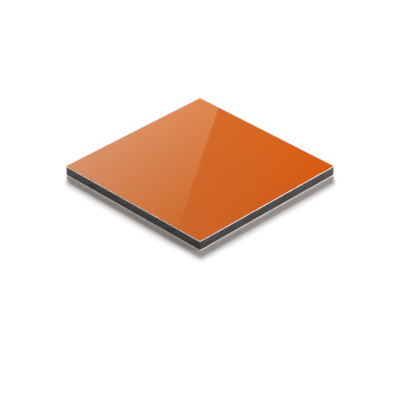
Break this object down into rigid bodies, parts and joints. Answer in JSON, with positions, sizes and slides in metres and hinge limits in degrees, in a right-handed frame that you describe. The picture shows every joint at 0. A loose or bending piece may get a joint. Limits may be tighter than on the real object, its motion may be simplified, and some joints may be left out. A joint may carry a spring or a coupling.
{
  "type": "aluminium composite panel",
  "caption": "Square flat sandwich panel: a black plastic core between thin aluminium skins, gloss orange on the face, for cladding, fascias, signs and furniture fronts.",
  "frame": {"origin": "middle of the back, where the panel lies on the floor", "axes": "+Z straight out of the orange face; +X and +Y along the two edges of the square"},
  "size_m": [0.05, 0.05, 0.003],
  "materials": {
    "orange_lacquer": "high-gloss orange lacquer on aluminium; bare sawn aluminium on the cut edge and its bevel",
    "black_core": "black polyethylene, sawn, with slanting saw marks",
    "back_primer": "thin matt pale-grey primer on aluminium; bare sawn aluminium on the cut edge and its bevel"
  },
  "bodies": {
    "root": {"face_skin": "orange_lacquer", "core": "black_core", "back_skin": "back_primer"}
  },
  "joints": []
}
